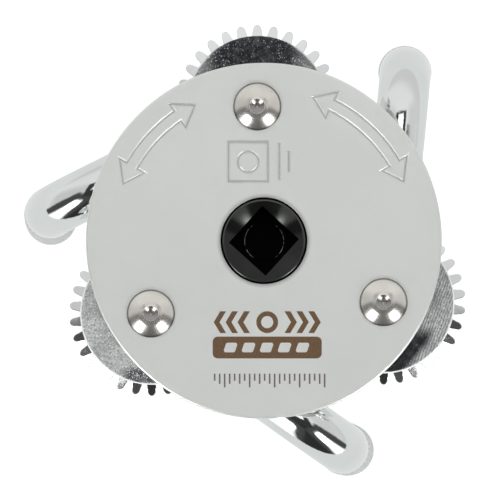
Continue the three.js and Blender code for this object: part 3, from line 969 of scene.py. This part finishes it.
def tilted_teeth(start):
    """The leg gear's teeth, each with a flat upper face that falls away towards the tip."""
    outline = gear_outline(
        LEG_TEETH, shift=0, extra=0.17, tip=LEG_TIP_R, root=LEG_ROOT_R, start=start,
        round_height=1.35,
    )
    verts, faces = slab(outline, TEETH_LOW, TEETH_TOP, 0.12, 0.16, 2)
    pitch = 360 / LEG_TEETH
    angle = np.degrees(np.arctan2(verts[:, 1], verts[:, 0])) - start
    off_centre = (angle + pitch / 2) % pitch - pitch / 2
    along = np.hypot(verts[:, 0], verts[:, 1]) * np.cos(np.radians(off_centre))
    upper = verts[:, 2] > (TEETH_LOW + TEETH_TOP) / 2
    fall = np.maximum(0, along - LEG_ROOT_R) * math.tan(TOOTH_FALL * DEG)
    verts[upper, 2] -= fall[upper]
    # the top cap becomes one face for each tooth and one for the middle
    per_tooth = len(outline) // LEG_TEETH
    top = len(verts) - len(outline)
    faces = faces[:-1]
    middle = []
    for i in range(LEG_TEETH):
        first = top + i * per_tooth
        faces.append(tuple(range(first, first + per_tooth)))
        middle += [first, first + per_tooth - 1]
    faces.append(tuple(middle))
    return verts, faces


def value_noise(x, y, seed):
    """Smooth repeatable noise on a plane, about -1 to 1."""
    table = np.random.RandomState(seed).uniform(-1, 1, (256, 256))
    cell_x, cell_y = np.floor(x).astype(int), np.floor(y).astype(int)
    fx, fy = x - cell_x, y - cell_y
    fx, fy = fx * fx * (3 - 2 * fx), fy * fy * (3 - 2 * fy)

    def corner(dx, dy):
        return table[(cell_x + dx) % 256, (cell_y + dy) % 256]

    return (
        corner(0, 0) * (1 - fx) * (1 - fy)
        + corner(1, 0) * fx * (1 - fy)
        + corner(0, 1) * (1 - fx) * fy
        + corner(1, 1) * fx * fy
    )


def cast_boss(seed):
    """The leg gear's core: hub, and a boss whose top is a rough casting."""
    segs = 300
    rings = [(r, 0.0) for r in np.linspace(GEAR_BORE_R + 0.3, CAST_R, 34)]  # radius, drop
    rings += [(13.67, 0.03), (13.80, 0.10), (13.92, 0.20), (14.01, 0.33), (BOSS_R, 0.5)]
    rings.reverse()
    profile = [
        (GEAR_BORE_R, HUB_LOW),
        (HUB_R - 0.6, HUB_LOW),
        (HUB_R - 0.18, HUB_LOW + 0.18),
        (HUB_R, HUB_LOW + 0.6),
        (HUB_R, TEETH_TOP - 0.15),
        (BOSS_R, TEETH_TOP - 0.15),
    ]
    first_row = len(profile)
    profile += [(r, BOSS_TOP - drop) for r, drop in rings]
    profile += [(GEAR_BORE_R, BOSS_TOP - 0.3)]
    verts, faces = lathe(profile, segs)
    for i, (r, _) in enumerate(rings):
        if r >= CAST_R:
            height, middle = 0.05, 0.6
        elif r > 5.2:
            height, middle = 0.16, 0.75
        else:
            continue
        row = slice((first_row + i) * segs, (first_row + i + 1) * segs)
        x, y = verts[row, 0], verts[row, 1]
        noise = (
            0.5 * value_noise(x * 2.1, y * 2.1, seed)
            + 0.35 * value_noise(x * 4.5, y * 4.5, seed + 1)
            + 0.15 * value_noise(x * 0.7, y * 0.7, seed + 2)
        )
        verts[row, 2] += height * (noise - middle)
    return verts, faces


def make_leg_gear(k):
    ob = new_object(f"gear_leg_{k + 1}", tilted_teeth(TOOTH_PHASE - REST_SWING[k]))
    boolean(ob, [cast_boss(11 + 7 * k)], "UNION")
    bore = cylinder(GEAR_BORE_R, HUB_LOW - CLEAR, BOSS_TOP + CLEAR, 64)
    # the bar's socket, laid along +X
    verts, faces = cylinder(SOCKET_R, 0, 14, 64)
    socket = (np.stack([verts[:, 2] + SOCKET_X, verts[:, 1], -verts[:, 0] + BAR_Z], 1), faces)
    pin_hole = moved(cylinder(PIN_HOLE_R, HUB_LOW - CLEAR, -1.0, 32), PIN_X)
    boolean(ob, [bore, socket, pin_hole])
    place_leg(ob, k)
    materials = [GEAR, CAST[k]]
    piece(ob, f"leg_{k + 1}", f"leg_gear_{k + 1}", materials, angle=38)
    for poly in ob.data.polygons:
        x, y = poly.center.x / MM - PIVOTS[k][0], poly.center.y / MM - PIVOTS[k][1]
        if poly.center.z > (TEETH_TOP + 0.02) * MM and math.hypot(x, y) < BOSS_R + 0.15:
            poly.material_index = 1


def drive_core():
    """The drive's hub, with a groove for the retaining ring near its lower end."""
    neck_r, shoulder_r, collar_r, mouth_r = 6.0, 9.5, 9.8, 8.4
    groove_r, groove_low, groove_top = 5.7, -18.6, -17.4
    profile = [
        (0, DRIVE_LOW),
        (neck_r, DRIVE_LOW, 0.6, 3),
        (neck_r, groove_low),
        (groove_r, groove_low),
        (groove_r, groove_top),
        (neck_r, groove_top),
        (neck_r, -12.6, 0.1, 1),
        (shoulder_r, -12.6, 0.3, 2),
        (shoulder_r, 0.0),
        (collar_r, 0.0),
        (collar_r, 7.2, 0.2, 2),
        (mouth_r, 7.2),
        (mouth_r, DRIVE_TOP - 0.8, 0.1, 1),
        (8.10, DRIVE_TOP, 0.30, 8),
        (0, DRIVE_TOP),
    ]
    return lathe(rounded(profile, closed=False), 128)


def drive_lead_in(half):
    """A cutter for a slightly hollow lead-in to a square socket of the given half width."""
    inner_r = half - 0.4
    depth = (7.8 - half + 0.4) * math.tan(34 * DEG)
    lip = 0.12
    bowl = []
    for i in range(9):
        f = i / 8
        drop = lip + (depth - lip) * (1 - f) + 0.07 * 4 * f * (1 - f)
        bowl.append((inner_r + (7.68 - inner_r) * f, DRIVE_TOP - drop))
    above = DRIVE_TOP + 0.5
    ends = [(7.84, DRIVE_TOP + 0.02), (8.3, above), (0, above)]
    return lathe([(0, bowl[0][1])] + bowl + ends, 128)


def make_drive():
    start = PIVOT_ANGLES[0] + 180 / DRIVE_TEETH - TOOTH_PHASE * LEG_TEETH / DRIVE_TEETH
    outline = gear_outline(
        DRIVE_TEETH, shift=-0.5, extra=-0.54, tip=DRIVE_TIP_R, root=DRIVE_ROOT_R,
        start=start, round_height=0.5,
    )
    ob = new_object("drive_hub", slab(outline, TEETH_LOW, DRIVE_TEETH_TOP, 0.12, 0.15, 2))
    boolean(ob, [drive_core()], "UNION")
    # square socket with a round relief in its floor and a ball hollow in each side
    half = 4.9
    corners = [(*corner, 0.1, 2) for corner in rect(-half, -half, half, half)]
    square = slab(rounded(corners), 0.6, DRIVE_TOP + CLEAR)
    relief = lathe([(0, 0), (3.77, 0), (3.77, 0.5), (3.89, 0.62), (3.89, 1.6), (0, 1.6)], 96)
    ball_r, ball_z = 1.9, 5.2
    arc = [
        (ball_r * math.sin(t * DEG), -ball_r * math.cos(t * DEG)) for t in range(15, 180, 15)
    ]
    ball = lathe([(0, -ball_r)] + arc + [(0, ball_r)], 24)
    balls = [moved(ball, *polar(half + 1.2, 90 * i), ball_z) for i in range(4)]
    boolean(ob, [square, relief, drive_lead_in(half), join(*balls)])
    piece(ob, "drive", "drive_gear", [BLACK])


# ------------------------------------------------------------------ leg bars
BAR_R = 5.1
BAR_LEAN = 1.6  # degrees from vertical
LEG_X = 46.3  # lower end of the bend, from the pivot
BEND_R = 11.0
KNURL_TOP, KNURL_LOW = -26.0, -71.5
KNURL_PITCH = 1.9
KNURL_STARTS = 32
BAR_END = [(6.0, 4.2), (6.05, 4.45), (6.25, 4.75), (6.6, 4.93), (7.0, BAR_R)]  # x, radius
BAR_FOOT = [(4.95, 0.62), (4.7, 0.28), (4.45, 0.08), (4.2, 0.0)]  # radius, z above the floor


def bar_stations():
    """Stations down the bar, and the x of its foot.

    A station is: point, outward direction in the bend's plane, radius, share of knurl, and
    distance below the bend.
    """
    lean = BAR_LEAN * DEG
    bend = math.pi / 2 - lean
    bend_x = LEG_X - BEND_R * math.sin(bend)
    bend_low = BAR_Z - BEND_R * (1 - math.cos(bend))
    up = np.array([0, 0, 1.0])
    top = np.array([LEG_X, 0, bend_low])
    down = np.array([math.sin(lean), 0, -math.cos(lean)])
    side = np.array([math.cos(lean), 0, math.sin(lean)])

    def distance_to(z):
        return (bend_low - z) / math.cos(lean)

    level = BAR_END + [(x, BAR_R) for x in np.linspace(9, bend_x, 8)]
    stations = [(np.array([x, 0, BAR_Z]), up, radius, 0, 0) for x, radius in level]
    for i in range(1, 29):
        a = bend * i / 28
        x = bend_x + BEND_R * math.sin(a)
        z = BAR_Z - BEND_R * (1 - math.cos(a))
        outward = np.array([math.sin(a), 0, math.cos(a)])
        stations.append((np.array([x, 0, z]), outward, BAR_R, 0, 0))
    start, end = distance_to(KNURL_TOP), distance_to(KNURL_LOW)
    foot = distance_to(FOOT_Z)
    straight = [(s, 0) for s in np.linspace(0, start - 0.35, 6)[1:]]
    for s in np.arange(start, end, KNURL_PITCH / 6):
        straight.append((s, max(0.0, min(1.0, (s - start) / 0.6, (end - s) / 0.6))))
    straight += [(s, 0) for s in (end + 0.15, end + 0.8, foot - 1.15)]
    stations += [(top + down * s, side, BAR_R, share, s) for s, share in straight]
    return stations, (top + down * foot)[0]


def make_leg_bar(k):
    stations, foot_x = bar_stations()
    segs = 192
    around = 2 * math.pi * np.arange(segs) / segs
    sideways = np.array([0, 1.0, 0])
    rings = []
    for point, outward, radius, share, s in stations:
        radii = np.full(segs, radius)
        if share > 0:
            # two crossing families of grooves
            turns = KNURL_STARTS * around / (2 * math.pi)
            right_hand, left_hand = turns + s / KNURL_PITCH, turns - s / KNURL_PITCH
            ridge = np.minimum(
                np.abs(2 * (right_hand % 1) - 1), np.abs(2 * (left_hand % 1) - 1)
            )
            radii = radius - 0.08 * share + share * 0.36 * np.clip(ridge * 1.25, 0, 0.92)
        spoke = np.cos(around)[:, None] * outward + np.sin(around)[:, None] * sideways
        rings.append(point + radii[:, None] * spoke)
    # level foot with a small chamfer
    for radius, rise in BAR_FOOT:
        x, y = foot_x + radius * np.cos(around), radius * np.sin(around)
        rings.append(np.stack([x, y, np.full(segs, FOOT_Z + rise)], 1))
    faces = []
    for i in range(len(rings) - 1):
        faces += quads(i * segs, (i + 1) * segs, segs, flip=True)
    last = (len(rings) - 1) * segs
    faces.append(tuple(range(segs)))
    faces.append(tuple(range(last + segs - 1, last - 1, -1)))
    ob = new_object(f"bar_leg_{k + 1}", (np.concatenate(rings), faces))
    boolean(ob, [moved(cylinder(PIN_HOLE_R, -15, 0, 32), PIN_X)])
    place_leg(ob, k)
    materials = [CHROME, KNURL]
    leg, node = f"leg_{k + 1}", f"leg_bar_{k + 1}"
    piece(ob, leg, node, materials, angle=40, weighted=False)
    for poly in ob.data.polygons:
        if (KNURL_LOW + 0.1) * MM < poly.center.z < (KNURL_TOP - 0.1) * MM:
            poly.material_index = 1


# ------------------------------------------------------------------ rivets, sleeves, pins
RIVET_GAP = 0.05  # between the rivet's heads and the plates
SHANK_R = 3.0
LOWER_HEAD_R, HEAD_R = 4.5, 4.73
HEAD_BALL_R, DIMPLE_BALL_R = 7.5, 2.3
DIMPLE_R = 1.42
PIN_R = 1.25


def cap_height(ball_r, rim_r, r):
    """Height of a spherical cap over its rim, at radius r."""
    return math.sqrt(ball_r**2 - r**2) - math.sqrt(ball_r**2 - rim_r**2)


def make_rivet(k):
    """A shank with a head under the bottom plate and a domed, dimpled head on the top plate."""
    top = PLATE_TOP + RIVET_GAP
    low = BASE_LOW - RIVET_GAP
    lower_head = [
        (0, RIVET_LOW),
        (3.4, RIVET_LOW, 0.7, 4),
        (LOWER_HEAD_R, low - 0.7, 0.7, 4),
        (LOWER_HEAD_R, low, 0.08, 1),
        (SHANK_R, low),
    ]
    profile = rounded(lower_head, closed=False)
    profile += [(SHANK_R, top), (4.65, top), (HEAD_R, top + 0.08), (HEAD_R, top + 0.32)]
    profile += [(4.70, top + 0.42)]
    for r in (4.64, 4.45, 4.2, 3.85, 3.5, 3.1, 2.75, 2.45, 2.3):
        profile.append((r, top + 0.45 + cap_height(HEAD_BALL_R, HEAD_R, r)))
    # a faint step round the dimple
    for r in (2.1, 1.8, 1.5):
        profile.append((r, top + 0.43 + cap_height(HEAD_BALL_R, HEAD_R, r)))
    dimple_top = profile[-1][1] - 0.01
    for r in (DIMPLE_R, 1.25, 1.05, 0.8, 0.5, 0.2, 0):
        profile.append((r, dimple_top - cap_height(DIMPLE_BALL_R, DIMPLE_R, r)))
    ob = new_object(f"rivet_pivot_{k + 1}", moved(lathe(profile, 96), *PIVOTS[k]))
    node = f"pivot_rivet_{k + 1}"
    piece(ob, "housing", node, [NICKEL], angle=40, weighted=False)


def make_sleeve(k):
    """A tube round the rivet, between the plates."""
    gap, outer_r = 0.05, 4.5
    low, high = BASE_TOP + gap, PLATE_LOW - gap
    profile = rounded([
        (PIVOT_HOLE_R, low, 0.1, 1),
        (outer_r, low, 0.2, 2),
        (outer_r, high, 0.2, 2),
        (PIVOT_HOLE_R, high, 0.1, 1),
    ])
    ob = new_object(f"sleeve_pivot_{k + 1}", moved(lathe(profile, 72), *PIVOTS[k]))
    piece(ob, "housing", f"pivot_sleeve_{k + 1}", [STEEL])


def make_pin(k):
    dx, dy = polar(PIN_X, LEG_ANGLES[k])
    corners = [(0, PIN_LOW), (PIN_R, PIN_LOW, 0.35, 4), (PIN_R, PIN_TOP, 0.35, 4), (0, PIN_TOP)]
    body = lathe(rounded(corners, closed=False), 40)
    ob = new_object(f"pin_leg_{k + 1}", moved(body, PIVOTS[k][0] + dx, PIVOTS[k][1] + dy))
    piece(ob, f"leg_{k + 1}", f"leg_pin_{k + 1}", [STEEL])


# ------------------------------------------------------------------ retaining ring, wave washer
def make_retaining_ring():
    """An open ring, broadest opposite its gap, with a holed ear at each end."""
    low, high = -18.5, -17.5
    gap = 23.0  # half the opening, degrees from +X
    steps = 96
    outer, inner = [], []
    for i in range(steps + 1):
        f = i / steps
        angle = gap + (360 - 2 * gap) * f
        outer.append(polar(7.7 - 0.55 * (1 - 2 * f) ** 2, angle))
        inner.append(polar(5.8, angle))
    ob = new_object("ring_retaining", slab(outer + inner[::-1], low, high, 0.1, 0.1, 2))
    for angle in (gap + 3, -gap - 3):
        ear = circle(1.5, 40, *polar(7.35, angle))
        boolean(ob, [slab(ear, low, high, 0.1, 0.1, 2)], "UNION")
        hole = cylinder(0.65, low - CLEAR, high + CLEAR, 24)
        boolean(ob, [moved(hole, *polar(7.5, angle))])
    boolean(ob, [cylinder(5.78, low - CLEAR, high + CLEAR, 96)])
    piece(ob, "drive", "retaining_ring", [SPRING])


def make_wave_washer():
    corners = rect(6.4, -13.35, 9.2, -12.95)  # radius, z
    verts, faces = lathe(rounded([(*corner, 0.12, 2) for corner in corners]), 144)
    verts[:, 2] += 0.18 * np.cos(3 * np.arctan2(verts[:, 1], verts[:, 0]))
    ob = new_object("washer_wave", (verts, faces))
    piece(ob, "housing", "wave_washer", [SPRING], angle=40)


# ------------------------------------------------------------------ stage, light and camera
# Panels on the sky, each painted over those before it. Azimuth is counter-clockwise from the
# camera's right and elevation is above the horizon; angles in degrees.
# azimuth, elevation, half width, half height, softness, taper, brightness
SKY = [
    # dim sides, and a band low along the top of the view
    (178, 38, 22, 30, 12, 0.0, 0.64),
    (8, 34, 20, 22, 12, 0.0, 0.70),
    (62, 8, 72, 17, 12, 0.0, 0.70),
    # dark surrounds at the bottom of the view
    (270, 32, 27, 42, 5, 0.0, 0.03),
    (222, 26, 30, 41, 4, 0.0, 0.07),
    (316, 26, 29, 41, 4, 0.0, 0.07),
    # two tall soft boxes in them, each with a hot spot
    (228, 20, 13.0, 34, 3.5, 0.6, 1.4),
    (311, 20, 12.5, 34, 3.5, 0.6, 1.4),
    (229.5, 37, 5.5, 10, 6.5, 0.0, 16.0),
    (309.5, 37, 5.5, 10, 6.5, 0.0, 16.0),
    # a small bright opening overhead in a dark frame
    (90, 89, 23, 21, 2.0, 0.0, 0.04),
    (90, 82, 11.5, 10, 1.0, 0.0, 1.5),
]


def sky_panel(nodes, direction, azimuth, elevation, half_width, half_height, soft, taper):
    """1 inside a panel on the sky, narrower towards its top if tapered."""
    a, e = azimuth * DEG, elevation * DEG
    flat = VIEW_RIGHT * math.cos(a) + VIEW_UP * math.sin(a)
    towards = flat * math.cos(e) + Vector((0, 0, 1)) * math.sin(e)
    sideways = Vector((0, 0, 1)).cross(flat)
    upwards = towards.cross(sideways)
    ahead = nodes.vector("DOT_PRODUCT", direction, tuple(towards))

    def slope(axis):
        return nodes.math("DIVIDE", nodes.vector("DOT_PRODUCT", direction, tuple(axis)), ahead)

    def within(value, half):
        outer, inner = half + soft, max(half - soft, 0.1)
        return nodes.step(value, span=(math.tan(outer * DEG), math.tan(inner * DEG)))

    x, y = nodes.absolute(slope(sideways)), slope(upwards)
    widening = nodes.plus(nodes.times(y, taper), 1.0)
    x = nodes.times(x, nodes.math("MAXIMUM", widening, 0.3))
    in_width = within(x, half_width)
    in_height = within(nodes.absolute(y), half_height)
    return nodes.times(in_width, in_height, nodes.step(ahead, span=(0.05, 0.1)))


def make_world():
    """A grey studio with panels for the product, plain white for the camera."""
    scene.world = bpy.data.worlds.new("studio")
    nodes = Nodes(scene.world, "ShaderNodeOutputWorld")
    direction = nodes.add("ShaderNodeTexCoord").outputs["Generated"]
    z = nodes.add("ShaderNodeSeparateXYZ", {0: direction}).outputs[2]
    up_view = nodes.vector("DOT_PRODUCT", direction, tuple(VIEW_UP))
    level = nodes.times(
        nodes.linear(z, span=(-1.0, 1.0), to=(0.84, 0.90)),
        nodes.step(up_view, span=(-1.0, 1.0), to=(1.04, 0.96)),
    )
    for *place, brightness in SKY:
        mask = sky_panel(nodes, direction, *place)
        kept = nodes.times(level, nodes.minus(1.0, mask))
        level = nodes.plus(kept, nodes.times(mask, brightness))
    grey = nodes.add("ShaderNodeCombineColor", {0: level, 1: level, 2: level}).outputs[0]
    studio = nodes.add("ShaderNodeBackground", {0: grey, 1: 1.0}).outputs[0]
    plain = nodes.add("ShaderNodeBackground", {0: (1, 1, 1, 1), 1: 1.0}).outputs[0]
    camera_ray = nodes.add("ShaderNodeLightPath").outputs["Is Camera Ray"]
    mixed = nodes.add("ShaderNodeMixShader", {0: camera_ray, 1: studio, 2: plain})
    nodes.put(nodes.output, mixed.outputs[0])


def make_floor():
    corners = 96
    verts = np.array([(*point, FOOT_Z - 0.02) for point in circle(2500, corners)])
    ob = new_object("floor", (verts, [tuple(range(corners))]))
    material = bpy.data.materials.new("floor_white")
    nodes = Nodes(material, "ShaderNodeOutputMaterial")

    def emission(colour, strength):
        return nodes.add("ShaderNodeEmission", {0: (*colour, 1), 1: strength}).outputs[0]

    def mix(share, a, b):
        return nodes.add("ShaderNodeMixShader", {0: share, 1: a, 2: b}).outputs[0]

    diffuse = nodes.add("ShaderNodeBsdfDiffuse", {0: (0.34, 0.34, 0.34, 1)}).outputs[0]
    glow = emission(colour=(1, 1, 1), strength=0.82)
    seen = nodes.add("ShaderNodeAddShader", {0: diffuse, 1: glow}).outputs[0]
    reflected = emission(colour=(0.795, 0.815, 0.805), strength=1.0)
    camera_ray = nodes.add("ShaderNodeLightPath").outputs["Is Camera Ray"]
    upper = mix(camera_ray, reflected, seen)
    # clear from underneath, so the wrench can be seen from below
    under = nodes.add("ShaderNodeNewGeometry").outputs["Backfacing"]
    clear = nodes.add("ShaderNodeBsdfTransparent").outputs[0]
    nodes.put(nodes.output, mix(under, upper, clear))
    ob.data.materials.append(material)


def make_camera():
    """Looking down on the plate from far above."""
    distance = 2080.0  # camera above the plate
    long_side = 98.52217  # seen across the long side of the picture, on the plate
    data = bpy.data.cameras.new("camera")
    camera = bpy.data.objects.new("camera", data)
    scene.collection.objects.link(camera)
    scene.camera = camera
    data.sensor_width = 36
    data.lens = distance * 36 / long_side
    eye = Vector((*on_plate(12.7, -22.8), PLATE_TOP + distance))
    aim = Vector((*on_plate(-3.428571, -1.832512), PLATE_TOP))
    back = (eye - aim).normalized()
    across = VIEW_UP.cross(back).normalized()
    turn = Matrix((across, back.cross(across), back)).transposed().to_4x4()
    camera.matrix_world = Matrix.Translation(eye * MM) @ turn
    data.clip_start, data.clip_end = 0.5, 30


# ------------------------------------------------------------------ build
make_top_plate()
make_prints()
make_bottom_plate()
for k in range(3):
    make_leg_gear(k)
make_drive()
for k in range(3):
    make_leg_bar(k)
for k in range(3):
    make_rivet(k)
    make_sleeve(k)
    make_pin(k)
make_retaining_ring()
make_wave_washer()
make_world()
make_floor()
make_camera()

scene.view_settings.view_transform = "Standard"
scene.view_settings.look = "None"
